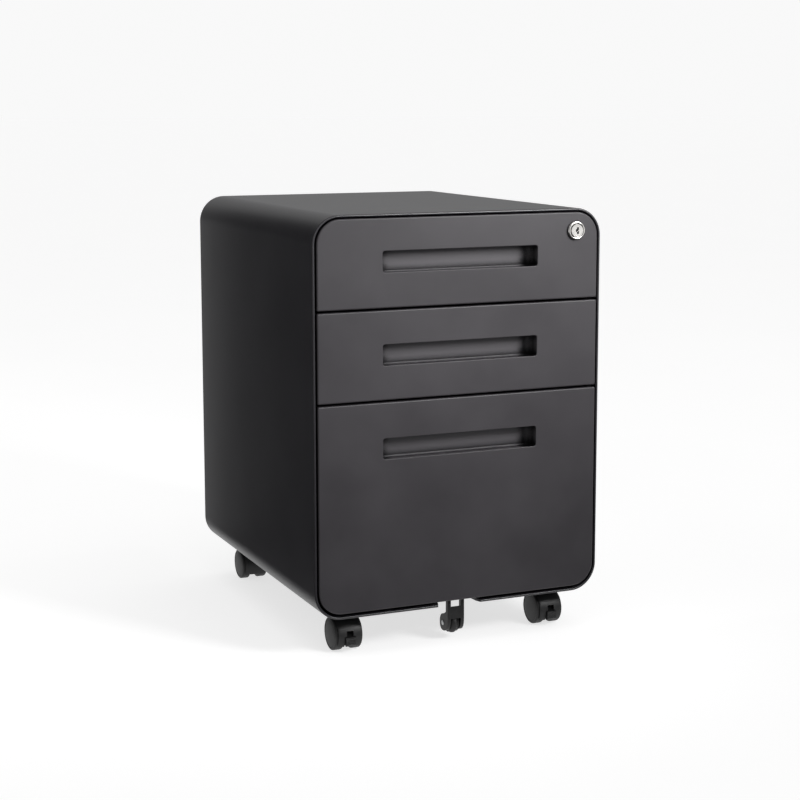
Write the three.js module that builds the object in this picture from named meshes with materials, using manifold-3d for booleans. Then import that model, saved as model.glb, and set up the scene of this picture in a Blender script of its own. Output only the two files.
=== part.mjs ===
// Mobile pedestal filing cabinet: a wrap-around steel shell with three drawers on
// full-extension slides, one lock, four twin-wheel casters and a fifth wheel under the
// file drawer.
//
// Millimetres, +Z up. The drawers face -Y and +X is to the right of somebody facing them.
// The origin is on the floor, under the middle of the cabinet's bounding box.

import * as THREE from 'three';
import { mergeVertices } from 'three/addons/utils/BufferGeometryUtils.js';
import Module from 'manifold-3d';

const wasm = await Module();
wasm.setup();

// ---------------------------------------------------------------- driving dimensions

// Shell
const WIDTH = 390;            // over the two sides
const DEPTH = 450;            // front rim to back
const SHELL_HEIGHT = 496;     // the shell alone, without the casters
const FLOOR_GAP = 51;         // floor to the shell's underside
const CORNER_R = 35;          // outside radius of the shell's four long edges
const SHEET = 1.2;            // steel sheet
const RIM = 3.3;              // the folded front edge, seen from the front
const RIM_DEPTH = 14;
const FIT = 0.3;              // gap between pieces that rest on each other

// Drawer fronts
const LOCK_PROUD = 4.5;       // the lock's face in front of the drawer fronts
const FRONT_PROUD = 1.5;      // the drawer fronts in front of the rim
const FRONT_HALF_WIDTH = 189.8;
const FRONT_R = 30;           // corners that follow the shell
const SMALL_R = 2;            // all other corners of the fronts
const FRONT_DEPTH = 25;       // folded edges of the front panel
const FRONT_RETURN = 12;      // flange that closes the fold towards the drawer box

// Handle slots
const SLOT_WIDTH = 210;
const SLOT_HEIGHT = 26;
const SLOT_R = 3;
const CUP_DEPTH = 22;
const CUP_R = 10;             // rear corners of the cup, in plan

// Drawer boxes
const BOX_HALF_WIDTH = 167;
const BOX_LENGTH = 400;
const BOX_SHEET = 1.0;

// Slides: three nested channels, measured inwards from the side frame
const SLIDE_FACE_X = 180;     // the face that the outer member is fixed to
const SLIDE_LENGTH = 400;
const MIDDLE_LENGTH = 380;
const INNER_LENGTH = 380;
const SLIDE_FRONT_GAP = 40;   // rim to the front end of the slides

// Casters and fifth wheel
const CASTER_X = 141;
const CASTER_FRONT_Y = 60;    // rim to the front swivel axes
const CASTER_REAR_Y = 59;     // back to the rear swivel axes
const CASTER_TRAIL = 16;      // swivel axis to axle
const WHEEL_R = 21;
const FIFTH_R = 14;
const FIFTH_SETBACK = 27;     // rim to the fifth wheel's axle
const FIFTH_Z = 22;

// Lock
const LOCK_X = 158.5;
const LOCK_Z = 519;
const CAM_R = 9;              // lock axis to the cam's pin
const BAR_TRAVEL = 2 * CAM_R * Math.SQRT1_2;

// ---------------------------------------------------------------- derived places

const HALF = WIDTH / 2;
const FACE_Y = -(DEPTH + FRONT_PROUD + LOCK_PROUD) / 2 + LOCK_PROUD;   // drawer faces
const RIM_Y = FACE_Y + FRONT_PROUD;
const BACK_Y = RIM_Y + DEPTH;
const BOTTOM_Z = FLOOR_GAP;
const TOP_Z = FLOOR_GAP + SHELL_HEIGHT;
const FRONT_BACK_Y = FACE_Y + FRONT_DEPTH;      // rear plane of the front panels
const BOX_Y = FRONT_BACK_Y + FIT;
const SLIDE_Y = RIM_Y + SLIDE_FRONT_GAP;
const FIFTH_Y = RIM_Y + FIFTH_SETBACK;

const DRAWERS = [
  { name: 'top', z0: 433.2, z1: 542.2, slotZ: 489.3, boxZ: 438, boxHeight: 64, slideZ: 462,
    lugZ: 488, corners: { top: FRONT_R, bottom: SMALL_R } },
  { name: 'middle', z0: 320.5, z1: 430.4, slotZ: 375.8, boxZ: 326, boxHeight: 64, slideZ: 350,
    lugZ: 376, corners: { top: SMALL_R, bottom: SMALL_R } },
  { name: 'file', z0: 58.0, z1: 317.6, slotZ: 260.0, boxZ: 66, boxHeight: 234, slideZ: 150,
    lugZ: 178, corners: { top: SMALL_R, bottom: FRONT_R } },
];

const CASTERS = [
  { name: 'front_left', x: -CASTER_X, y: RIM_Y + CASTER_FRONT_Y, turn: 0, brake: true },
  { name: 'front_right', x: CASTER_X, y: RIM_Y + CASTER_FRONT_Y, turn: 0, brake: true },
  { name: 'rear_left', x: -CASTER_X, y: BACK_Y - CASTER_REAR_Y, turn: Math.PI, brake: false },
  { name: 'rear_right', x: CASTER_X, y: BACK_Y - CASTER_REAR_Y, turn: Math.PI, brake: false },
];

// ---------------------------------------------------------------- materials

const paint = (color, roughness = 0.5, metalness = 0.3) =>
  new THREE.MeshStandardMaterial({ color, roughness, metalness });

const SHELL_PAINT = paint('#3a3a3c');
const FRONT_PAINT = paint('#4b4b4d');
const INNER_PAINT = paint('#2e2e30', 0.6);
const ZINC = paint('#a7a9a6', 0.35, 0.9);
const CHROME = paint('#d9d9d9', 0.15, 1.0);
const CAM_STEEL = paint('#b8b8b4', 0.4, 0.9);
const PLASTIC = paint('#202022', 0.45, 0.0);
const TREAD = paint('#2a2a2c', 0.6, 0.0);

// ---------------------------------------------------------------- solid helpers

function solid(geometry) {
  geometry.deleteAttribute('normal');
  geometry.deleteAttribute('uv');
  const merged = mergeVertices(geometry, 1e-4);
  return new wasm.Manifold(new wasm.Mesh({
    numProp: 3,
    vertProperties: new Float32Array(merged.attributes.position.array),
    triVerts: new Uint32Array(merged.index.array),
  }));
}

function geometryOf(manifold) {
  const mesh = manifold.getMesh();
  const geometry = new THREE.BufferGeometry();
  geometry.setAttribute('position', new THREE.BufferAttribute(mesh.vertProperties, 3));
  geometry.setIndex(new THREE.BufferAttribute(mesh.triVerts, 1));
  geometry.computeVertexNormals();
  return geometry;
}

const union = (first, ...rest) => rest.reduce((sum, piece) => sum.add(piece), first);
const cut = (first, ...rest) => rest.reduce((left, piece) => left.subtract(piece), first);

function block(x0, x1, y0, y1, z0, z1) {
  const geometry = new THREE.BoxGeometry(x1 - x0, y1 - y0, z1 - z0);
  geometry.translate((x0 + x1) / 2, (y0 + y1) / 2, (z0 + z1) / 2);
  return solid(geometry);
}

const extrude = (shape, depth, curveSegments) =>
  new THREE.ExtrudeGeometry(shape, { depth, bevelEnabled: false, curveSegments });

// A shape drawn in X and Z, carried along Y.
function alongY(shape, y0, y1, curveSegments = 6) {
  const geometry = extrude(shape, y1 - y0, curveSegments);
  geometry.rotateX(Math.PI / 2);
  geometry.translate(0, y1, 0);
  return solid(geometry);
}

// A shape drawn in Y and Z, carried along X.
function alongX(shape, x0, x1, curveSegments = 6) {
  const geometry = extrude(shape, x1 - x0, curveSegments);
  geometry.applyMatrix4(new THREE.Matrix4().makeBasis(
    new THREE.Vector3(0, 1, 0), new THREE.Vector3(0, 0, 1), new THREE.Vector3(1, 0, 0)));
  geometry.translate(x0, 0, 0);
  return solid(geometry);
}

// A shape drawn in X and Y, carried along Z.
function alongZ(shape, z0, z1, curveSegments = 6) {
  const geometry = extrude(shape, z1 - z0, curveSegments);
  geometry.translate(0, 0, z0);
  return solid(geometry);
}

function polygon(points) {
  return new THREE.Shape(points.map(([a, b]) => new THREE.Vector2(a, b)));
}

// A rectangle with one radius for its two lower and one for its two upper corners.
function roundedRect(a0, a1, b0, b1, lower, upper = lower) {
  const shape = new THREE.Shape();
  shape.moveTo(a0 + lower, b0);
  shape.lineTo(a1 - lower, b0);
  shape.absarc(a1 - lower, b0 + lower, lower, -Math.PI / 2, 0);
  shape.lineTo(a1, b1 - upper);
  shape.absarc(a1 - upper, b1 - upper, upper, 0, Math.PI / 2);
  shape.lineTo(a0 + upper, b1);
  shape.absarc(a0 + upper, b1 - upper, upper, Math.PI / 2, Math.PI);
  shape.lineTo(a0, b0 + lower);
  shape.absarc(a0 + lower, b0 + lower, lower, Math.PI, Math.PI * 1.5);
  return shape;
}

function circle(a, b, r) {
  const shape = new THREE.Shape();
  shape.absarc(a, b, r, 0, Math.PI * 2);
  return shape;
}

// Two circles of different size joined by their outer tangents, as a lever outline.
function lever(a0, b0, r0, a1, b1, r1) {
  const reach = Math.hypot(a1 - a0, b1 - b0);
  const aim = Math.atan2(b1 - b0, a1 - a0);
  const lean = Math.acos((r0 - r1) / reach);
  const shape = new THREE.Shape();
  shape.absarc(a0, b0, r0, aim + lean, aim - lean + Math.PI * 2);
  shape.absarc(a1, b1, r1, aim - lean, aim + lean);
  return shape;
}

// A body of revolution about an axis; profile points are [radius, place on the axis].
function turned(profile, segments) {
  const points = profile.map(([r, t]) => new THREE.Vector2(r, t));
  return new THREE.LatheGeometry(points, segments);
}

const aboutX = (profile, segments = 28) => {
  const geometry = turned(profile, segments);
  geometry.rotateZ(-Math.PI / 2);
  return solid(geometry);
};
const aboutY = (profile, segments = 28) => solid(turned(profile, segments));
const aboutZ = (profile, segments = 28) => {
  const geometry = turned(profile, segments);
  geometry.rotateX(Math.PI / 2);
  return solid(geometry);
};

function piece(name, material, manifold) {
  const mesh = new THREE.Mesh(geometryOf(manifold), material);
  mesh.name = name;
  return mesh;
}

// ---------------------------------------------------------------- shell

const shellOutline = inset => roundedRect(
  -HALF + inset, HALF - inset, BOTTOM_Z + inset, TOP_Z - inset, CORNER_R - inset);

const STEM_HOLE_R = 5.4;

function stemHoles(z0, z1, only = () => true) {
  return CASTERS.filter(only).map(c => alongZ(circle(c.x, c.y, STEM_HOLE_R), z0, z1, 5));
}

// The sheet is bent round all four sides. Its front edge is folded back on itself, and the
// bottom is cut away in front, where the fifth wheel's fork passes through.
function shellWrap() {
  const wall = cut(alongY(shellOutline(0), RIM_Y, BACK_Y),
    alongY(shellOutline(SHEET), RIM_Y - 1, BACK_Y + 1));
  const rim = cut(alongY(shellOutline(0), RIM_Y, RIM_Y + RIM_DEPTH),
    alongY(shellOutline(RIM), RIM_Y - 1, RIM_Y + RIM_DEPTH + 1));
  const notch = polygon([[-30.5, RIM_Y - 1], [30.5, RIM_Y - 1], [24, RIM_Y + 18], [24, RIM_Y + 40],
    [-24, RIM_Y + 40], [-24, RIM_Y + 18]]);
  return cut(union(wall, rim), alongZ(notch, BOTTOM_Z - 1, BOTTOM_Z + RIM + 1),
    ...stemHoles(BOTTOM_Z - 1, BOTTOM_Z + SHEET + 1));
}

// The back closes the wrap as a shallow pan, with its flanges turned to the front.
function backPanel() {
  const fold = 12;
  const inset = SHEET + FIT;
  return cut(alongY(shellOutline(inset), BACK_Y - fold, BACK_Y),
    alongY(shellOutline(inset + SHEET), BACK_Y - fold - 1, BACK_Y - SHEET));
}

const FRAME_X0 = SLIDE_FACE_X + FIT;
const FRAME_X1 = HALF - SHEET - 0.5;
const FRAME_Y0 = SLIDE_Y - 8.7;
const FRAME_Y1 = BACK_Y - 14;
const FRAME_Z0 = BOTTOM_Z + 31;
const FRAME_Z1 = TOP_Z - 31;
const STUD_X = 184.5;
const STUDS_Z = [235, 415];

// A pressed panel behind each shell side: it carries three slides and has windows between.
function sideFrame(side) {
  const pan = cut(block(FRAME_X0, FRAME_X1, FRAME_Y0, FRAME_Y1, FRAME_Z0, FRAME_Z1),
    block(FRAME_X0 + SHEET, FRAME_X1 + 1, FRAME_Y0 + SHEET, FRAME_Y1 - SHEET,
      FRAME_Z0 + SHEET, FRAME_Z1 - SHEET));
  const windows = [[190, 315], [385, 428]].map(([z0, z1]) =>
    alongX(roundedRect(FRAME_Y0 + 45, FRAME_Y1 - 45, z0, z1, 12), FRAME_X0 - 1, FRAME_X0 + 3, 3));
  const right = cut(pan, ...windows);
  if (side < 0) return right.mirror([1, 0, 0]);
  // The right frame guides the lock bar on two headed studs.
  const studs = STUDS_Z.map(z => {
    const neck = alongY(circle(STUD_X, z, 2.4), BAR_Y0 - 0.6, FRAME_Y0 + 0.5, 4);
    const head = alongY(circle(STUD_X, z, 4.2), BAR_Y0 - 2, BAR_Y0 - 0.5, 4);
    return union(neck, head);
  });
  return union(right, ...studs);
}

// An inverted hat section across the floor of the shell; the caster stems screw into it.
function baseBeam(stemY) {
  const web = 14;
  const foot = 6;
  const height = 10;
  const z0 = BOTTOM_Z + SHEET + FIT;
  const z1 = z0 + height;
  const outline = polygon([
    [stemY - web - foot, z0], [stemY - web, z0], [stemY - web, z1 - SHEET],
    [stemY + web, z1 - SHEET], [stemY + web, z0], [stemY + web + foot, z0],
    [stemY + web + foot, z0 + SHEET], [stemY + web + SHEET, z0 + SHEET],
    [stemY + web + SHEET, z1], [stemY - web - SHEET, z1],
    [stemY - web - SHEET, z0 + SHEET], [stemY - web - foot, z0 + SHEET]]);
  return cut(alongX(outline, -158, 158),
    ...stemHoles(z1 - SHEET - 1, z1 + 1, c => c.y === stemY));
}

// ---------------------------------------------------------------- slides

// A channel section: the web at one side, two flanges from it, all of one gauge.
// u is measured from the side frame towards the drawer.
function channel(webU, flangeU, halfHeight) {
  const gauge = 1.2;
  const into = Math.sign(flangeU - webU);
  const inside = webU + into * gauge;
  return [[webU, -halfHeight], [flangeU, -halfHeight], [flangeU, -halfHeight + gauge],
    [inside, -halfHeight + gauge], [inside, halfHeight - gauge], [flangeU, halfHeight - gauge],
    [flangeU, halfHeight], [webU, halfHeight]];
}

const SLIDE_SECTIONS = {
  outer: { points: channel(0, 9.5, 20), length: SLIDE_LENGTH },
  middle: { points: channel(2.4, 10.2, 14.4), length: MIDDLE_LENGTH },
  inner: { points: channel(12.7, 5.5, 8.8), length: INNER_LENGTH },
};

// Members stand at the front end of the slide, at the height of the drawer's slide line.
function slideMember(member, side, z) {
  const { points, length } = SLIDE_SECTIONS[member];
  const placed = points.map(([u, v]) => [side * (SLIDE_FACE_X - u), z + v]);
  const wound = THREE.ShapeUtils.isClockWise(placed.map(([a, b]) => new THREE.Vector2(a, b)))
    ? placed.reverse() : placed;
  return alongY(polygon(wound), SLIDE_Y, SLIDE_Y + length);
}

// ---------------------------------------------------------------- drawers

function frontOutline(drawer, inset) {
  const { top, bottom } = drawer.corners;
  const radius = r => Math.max(r - inset, 0.6);
  return roundedRect(-FRONT_HALF_WIDTH + inset, FRONT_HALF_WIDTH - inset,
    drawer.z0 + inset, drawer.z1 - inset, radius(bottom), radius(top));
}

// The front is a folded pan, open behind, with a flange that the drawer box screws to.
function drawerFront(drawer) {
  const arcs = drawer.name === 'middle' ? 2 : 6;
  const skin = alongY(frontOutline(drawer, 0), FACE_Y, FRONT_BACK_Y, arcs);
  const hollow = alongY(frontOutline(drawer, SHEET), FACE_Y + SHEET, FRONT_BACK_Y - SHEET, arcs);
  const mouth = alongY(frontOutline(drawer, FRONT_RETURN), FACE_Y + SHEET + 1, FRONT_BACK_Y + 1, arcs);
  const slot = alongY(roundedRect(-SLOT_WIDTH / 2, SLOT_WIDTH / 2, drawer.slotZ - SLOT_HEIGHT / 2,
    drawer.slotZ + SLOT_HEIGHT / 2, SLOT_R), FACE_Y - 1, FACE_Y + SHEET + 1, 3);
  const front = cut(skin, hollow, mouth, slot);
  if (drawer.name !== 'top') return front;
  return front.subtract(alongY(circle(LOCK_X, LOCK_Z, LOCK_BODY_R + FIT), FACE_Y - 1,
    FACE_Y + SHEET + 1, 10));
}

// The pull is a pressed cup behind the slot, a little larger than it, with round ends.
function handleCup(drawer) {
  const wall = 1.0;
  const margin = 2;
  const flange = 6;
  const y0 = FACE_Y + SHEET + FIT;
  const y1 = y0 + CUP_DEPTH;
  const halfWidth = SLOT_WIDTH / 2 + margin;
  const halfHeight = SLOT_HEIGHT / 2 + margin;
  const plan = (w, depthEnd, r) => roundedRect(-w, w, y0 - 1, depthEnd, 0.01, r);
  const shell = alongZ(plan(halfWidth + wall, y1, CUP_R), drawer.slotZ - halfHeight - wall,
    drawer.slotZ + halfHeight + wall, 5);
  const pocket = alongZ(plan(halfWidth, y1 - wall, CUP_R - wall), drawer.slotZ - halfHeight,
    drawer.slotZ + halfHeight, 5);
  const plate = alongY(roundedRect(-halfWidth - flange, halfWidth + flange,
    drawer.slotZ - halfHeight - flange, drawer.slotZ + halfHeight + flange, 4), y0, y0 + wall, 2);
  const infront = block(-WIDTH, WIDTH, y0 - 5, y0, drawer.slotZ - 60, drawer.slotZ + 60);
  return cut(union(shell, plate), pocket, infront);
}

const LUG_HEIGHT = 6;
const BAR_Y0 = FRONT_BACK_Y + 4.5;
const BAR_Y1 = BAR_Y0 + 2;

// An open steel tray, with a catch on its right side for the lock bar.
function drawerBox(drawer) {
  const x = BOX_HALF_WIDTH;
  const y1 = BOX_Y + BOX_LENGTH;
  const z1 = drawer.boxZ + drawer.boxHeight;
  const tray = cut(block(-x, x, BOX_Y, y1, drawer.boxZ, z1),
    block(-x + BOX_SHEET, x - BOX_SHEET, BOX_Y + BOX_SHEET, y1 - BOX_SHEET,
      drawer.boxZ + BOX_SHEET, z1 + 1));
  const lug = block(x - 0.5, x + 10, BAR_Y1 + 1.5, BAR_Y1 + 6.5, drawer.lugZ, drawer.lugZ + LUG_HEIGHT);
  return union(tray, lug);
}

// Hanging folders hook over two channels that clip on the file drawer's side walls.
function hangingRail(side) {
  const { boxZ, boxHeight } = DRAWERS[2];
  const wallTop = boxZ + boxHeight;
  const outer = BOX_HALF_WIDTH + FIT;
  const inner = BOX_HALF_WIDTH - BOX_SHEET - FIT;
  const y0 = BOX_Y + 8;
  const y1 = BOX_Y + BOX_LENGTH - 8;
  const rail = cut(block(inner - 1, outer + 1, y0, y1, wallTop - 8, wallTop + 3),
    block(inner, outer, y0 - 1, y1 + 1, wallTop - 9, wallTop + FIT));
  return side > 0 ? rail : rail.mirror([1, 0, 0]);
}

// ---------------------------------------------------------------- lock

const LOCK_BODY_R = 9.5;
const BEZEL_R = 11.8;
const BEZEL_FACE_R = 10.8;
const LOCK_FACE_Y = FACE_Y - LOCK_PROUD;
const PLUG_SHAFT_R = 6.5;
const PLUG_HEAD_R = 8.8;
const LOCK_NUT_R = 14;
const CAM_Y0 = FRONT_BACK_Y + 1.2;
const CAM_Y1 = CAM_Y0 + 2;

const atLock = manifold => manifold.translate([LOCK_X, 0, LOCK_Z]);

function lockHousing() {
  const bezel = LOCK_FACE_Y + 0.6;
  const seat = FACE_Y - FIT;
  const headEnd = LOCK_FACE_Y + 3.6;
  const rear = FRONT_BACK_Y - 1;
  return atLock(aboutY([[PLUG_SHAFT_R + FIT, rear], [LOCK_BODY_R, rear], [LOCK_BODY_R, seat],
    [BEZEL_R, seat], [BEZEL_R, bezel + 1], [BEZEL_FACE_R, bezel], [PLUG_HEAD_R + FIT, bezel],
    [PLUG_HEAD_R + FIT, headEnd], [PLUG_SHAFT_R + FIT, headEnd],
    [PLUG_SHAFT_R + FIT, rear]].reverse(), 24));
}

// A hexagon nut behind the drawer front clamps the housing in its hole.
function lockNut() {
  const y0 = FACE_Y + SHEET + FIT;
  const hexagon = polygon(Array.from({ length: 6 }, (_, i) =>
    [LOCK_NUT_R * Math.cos(i * Math.PI / 3), LOCK_NUT_R * Math.sin(i * Math.PI / 3)]));
  return atLock(cut(alongY(hexagon, y0, y0 + 3), alongY(circle(0, 0, LOCK_BODY_R + FIT), y0 - 1,
    y0 + 4, 10)));
}

// The key slot is cut as three offset grooves, upright while the cabinet is unlocked.
function lockPlug() {
  const headEnd = LOCK_FACE_Y + 3.3;
  const body = aboutY([[0, LOCK_FACE_Y], [PLUG_HEAD_R - 0.6, LOCK_FACE_Y], [PLUG_HEAD_R, LOCK_FACE_Y + 0.6],
    [PLUG_HEAD_R, headEnd], [PLUG_SHAFT_R, headEnd], [PLUG_SHAFT_R, CAM_Y0 - FIT],
    [3, CAM_Y0 - FIT], [3, CAM_Y1 + 0.6], [0, CAM_Y1 + 0.6]], 24);
  const slotEnd = LOCK_FACE_Y + 14;
  return atLock(cut(body,
    block(-0.4, 1.2, LOCK_FACE_Y - 1, slotEnd, 0.4, 4.2),
    block(-1.2, 0.6, LOCK_FACE_Y - 1, slotEnd, -1.2, 1.4),
    block(-0.4, 1.2, LOCK_FACE_Y - 1, slotEnd, -4.2, -0.4)));
}

// The cam points up and outwards at rest and swings down as the key turns.
function lockCam() {
  const a = CAM_R * Math.SQRT1_2;
  const plate = cut(alongY(lever(0, 0, 5.6, a, a, 3.4), CAM_Y0, CAM_Y1, 6),
    alongY(circle(0, 0, 3 + FIT), CAM_Y0 - 1, CAM_Y1 + 1, 6));
  return atLock(plate.add(alongY(circle(a, a, 2), CAM_Y1 - 0.5, BAR_Y1 + 1.5, 4)));
}

// A flat strip with an arm for the cam's pin, three hooks and two slots for the studs.
function lockBar() {
  const a = CAM_R * Math.SQRT1_2;
  const x0 = 179;
  const x1 = 189;
  const bottom = 176;
  const shoulder = 500;
  const armTop = 531;
  const armX = LOCK_X + 0.5;
  const outline = polygon([[x0, bottom], [x1, bottom], [x1, shoulder + 8], [x1 - 3, shoulder + 14],
    [x1 - 5, armTop], [armX, armTop], [armX, armTop - 12], [x0, armTop - 12]]);
  const hooks = DRAWERS.map(drawer =>
    block(x0 - 7, x0 + 1, BAR_Y0, BAR_Y1, drawer.lugZ + LUG_HEIGHT + 3, drawer.lugZ + LUG_HEIGHT + 11));
  const pinSlot = block(LOCK_X + a - 2.7, LOCK_X + CAM_R + 2.7, BAR_Y0 - 1, BAR_Y1 + 1,
    LOCK_Z + a - 2.7, LOCK_Z + a + 2.7);
  const studSlots = STUDS_Z.map(z => alongY(roundedRect(STUD_X - 2.7, STUD_X + 2.7, z - 2.8,
    z + BAR_TRAVEL + 2.9, 2.6), BAR_Y0 - 1, BAR_Y1 + 1, 3));
  return cut(union(alongY(outline, BAR_Y0, BAR_Y1), ...hooks), pinSlot, ...studSlots);
}

// ---------------------------------------------------------------- casters

// Every caster is drawn with its swivel axis on Z and its axle towards -Y.
const AXLE_R = 2.8;
const WHEEL_GAP = 6.8;        // middle of the caster to a wheel's inner face
const WHEEL_FACE = 19;        // middle of the caster to a wheel's outer face
const PIN_R = 3.5;
const LEVER_PIVOT = { y: -27.5, z: 24 };

function casterStem() {
  const top = BOTTOM_Z + 12.5;
  const seat = BOTTOM_Z - FIT;
  const pin = aboutZ([[0, 24.3], [PIN_R, 24.3], [PIN_R, seat - 1], [5, seat - 1], [5, top - 1],
    [4, top], [0, top]], 16);
  const nut = aboutZ([[0, seat - 3.6], [8.4, seat - 3.6], [8.4, seat], [0, seat]], 6);
  return union(pin, nut);
}

function hoodArc(radius) {
  const shape = new THREE.Shape();
  const from = THREE.MathUtils.degToRad(-30);
  const to = THREE.MathUtils.degToRad(212);
  shape.absarc(-CASTER_TRAIL, WHEEL_R, radius, from, to);
  shape.lineTo(-CASTER_TRAIL + 15 * Math.cos(to), WHEEL_R + 15 * Math.sin(to));
  shape.lineTo(-CASTER_TRAIL + 15 * Math.cos(from), WHEEL_R + 15 * Math.sin(from));
  return shape;
}

// The hood: a web between the wheels, a fender over their treads, a boss for the stem and
// the axle pressed across it.
function casterHood(brake) {
  const crown = 46.4;
  const fender = cut(alongX(hoodArc(24.2), -15.3, 15.3, 14),
    alongX(circle(-CASTER_TRAIL, WHEEL_R, 22.2), -16, -6, 12),
    alongX(circle(-CASTER_TRAIL, WHEEL_R, 22.2), 6, 16, 12));
  const boss = alongZ(circle(0, 0, 6), 20, crown);
  const cap = alongZ(circle(0, 0, 13), 43.4, crown, 8);
  const axle = alongX(circle(-CASTER_TRAIL, WHEEL_R, AXLE_R), -16.8, 16.8, 6);
  const stemBore = alongZ(circle(0, 0, PIN_R + FIT), 22, crown + 1, 6);
  const hood = cut(union(fender, boss, cap, axle), stemBore);
  if (!brake) return hood;
  const pocket = alongX(polygon([[-45, 5], [-23, 5], [-23, 28.5], [-45, 28.5]]), -4.4, 4.4);
  const mouth = alongX(polygon([[-45, 5], [-34, 5], [-35, 12], [-37.6, 21.8], [-45, 21.8]]), -7, 7);
  const pivot = alongX(circle(LEVER_PIVOT.y, LEVER_PIVOT.z, 1.3), -5.5, 5.5, 4);
  return union(cut(hood, pocket, mouth), pivot);
}

function brakeLever() {
  const { y, z } = LEVER_PIVOT;
  const arm = alongX(polygon([[y - 12.5, 10], [y - 8, 9.5], [y + 2.5, z - 4], [y + 3.2, z],
    [y + 1.5, z + 3], [y - 1.5, z + 3], [y - 12.5, 20.5]]), -4, 4);
  const pad = alongX(polygon([[-43, 11.5], [-41, 9.5], [-38.7, 9.5], [-38.7, 20.8], [-41.2, 20.8],
    [-43, 19]]), -6.5, 6.5);
  return cut(union(arm, pad), alongX(circle(y, z, 1.7), -5, 5, 4));
}

// One of the two wheels of a caster: closed outside, with a blind bore for the axle.
function casterWheel(side) {
  const bore = AXLE_R + FIT;
  const wheel = aboutX([[0, WHEEL_FACE - 1.4], [bore, WHEEL_FACE - 1.4], [bore, WHEEL_GAP],
    [WHEEL_R - 1, WHEEL_GAP], [WHEEL_R, WHEEL_GAP + 1], [WHEEL_R, WHEEL_FACE - 2.6],
    [WHEEL_R - 1, WHEEL_FACE - 1], [WHEEL_R - 3.4, WHEEL_FACE - 0.5], [0, WHEEL_FACE]]);
  const placed = wheel.translate([0, -CASTER_TRAIL, WHEEL_R]);
  return side > 0 ? placed : placed.mirror([1, 0, 0]);
}

// ---------------------------------------------------------------- fifth wheel

const FORK_INSIDE = 7;
const FORK_OUTSIDE = 11.5;
const FORK_FRONT_Y = RIM_Y + 12;

// A moulded fork under the file drawer's front: thin legs that widen round the wheel, a plate
// across them in front, and the axle riveted through them.
function fifthFork() {
  const topZ = DRAWERS[2].z0 - FIT;
  const backY = FORK_FRONT_Y + 24;
  const bossR = 10;
  const neckY = FORK_FRONT_Y + 6;
  const side = new THREE.Shape();
  side.moveTo(FORK_FRONT_Y, topZ);
  side.lineTo(FORK_FRONT_Y, FIFTH_Z + 7);
  side.quadraticCurveTo(FORK_FRONT_Y, FIFTH_Z - bossR, FIFTH_Y, FIFTH_Z - bossR);
  side.quadraticCurveTo(backY, FIFTH_Z - bossR, backY, FIFTH_Z);
  side.quadraticCurveTo(backY, FIFTH_Z + bossR, FIFTH_Y, FIFTH_Z + bossR + 2);
  side.quadraticCurveTo(neckY, FIFTH_Z + bossR + 3, neckY, FIFTH_Z + 18);
  side.lineTo(neckY, topZ);
  const legs = [[-FORK_OUTSIDE, -FORK_INSIDE], [FORK_INSIDE, FORK_OUTSIDE]]
    .map(([x0, x1]) => alongX(side, x0, x1, 4));
  const crossPlate = block(-FORK_OUTSIDE, FORK_OUTSIDE, FORK_FRONT_Y, FORK_FRONT_Y + 2.2, 29.8, 45.6);
  const flange = block(-18, 18, FORK_FRONT_Y, backY, topZ - 1.6, topZ);
  const axle = alongX(circle(FIFTH_Y, FIFTH_Z, 2.2), -FORK_OUTSIDE, FORK_OUTSIDE, 5);
  return union(...legs, crossPlate, flange, axle);
}

function fifthWheel() {
  const half = 6;
  return aboutX([[2.5, -half], [2.5, half], [FIFTH_R - 2, half], [FIFTH_R, half - 2],
    [FIFTH_R, 2 - half], [FIFTH_R - 2, -half], [2.5, -half]].reverse(), 24)
    .translate([0, FIFTH_Y, FIFTH_Z]);
}

// ---------------------------------------------------------------- assembly

const cabinet = new THREE.Group();

cabinet.add(
  piece('shell_wrap', SHELL_PAINT, shellWrap()),
  piece('back_panel', SHELL_PAINT, backPanel()),
  piece('left_side_frame', INNER_PAINT, sideFrame(-1)),
  piece('right_side_frame', INNER_PAINT, sideFrame(1)),
  piece('front_base_beam', INNER_PAINT, baseBeam(RIM_Y + CASTER_FRONT_Y)),
  piece('rear_base_beam', INNER_PAINT, baseBeam(BACK_Y - CASTER_REAR_Y)),
);

for (const drawer of DRAWERS) {
  const group = new THREE.Group();
  group.add(
    piece(`${drawer.name}_drawer_front`, FRONT_PAINT, drawerFront(drawer)),
    piece(`${drawer.name}_handle_cup`, FRONT_PAINT, handleCup(drawer)),
    piece(`${drawer.name}_drawer_box`, INNER_PAINT, drawerBox(drawer)),
  );
  for (const [sideName, side] of [['left', -1], ['right', 1]]) {
    for (const member of Object.keys(SLIDE_SECTIONS)) {
      group.add(piece(`${drawer.name}_${sideName}_slide_${member}`, ZINC,
        slideMember(member, side, drawer.slideZ)));
    }
  }
  cabinet.add(group);
}

cabinet.add(
  piece('left_hanging_rail', ZINC, hangingRail(-1)),
  piece('right_hanging_rail', ZINC, hangingRail(1)),
  piece('lock_housing', CHROME, lockHousing()),
  piece('lock_nut', ZINC, lockNut()),
  piece('lock_plug', CHROME, lockPlug()),
  piece('lock_cam', CAM_STEEL, lockCam()),
  piece('lock_bar', ZINC, lockBar()),
  piece('fifth_wheel_fork', PLASTIC, fifthFork()),
  piece('fifth_wheel', TREAD, fifthWheel()),
);

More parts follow.
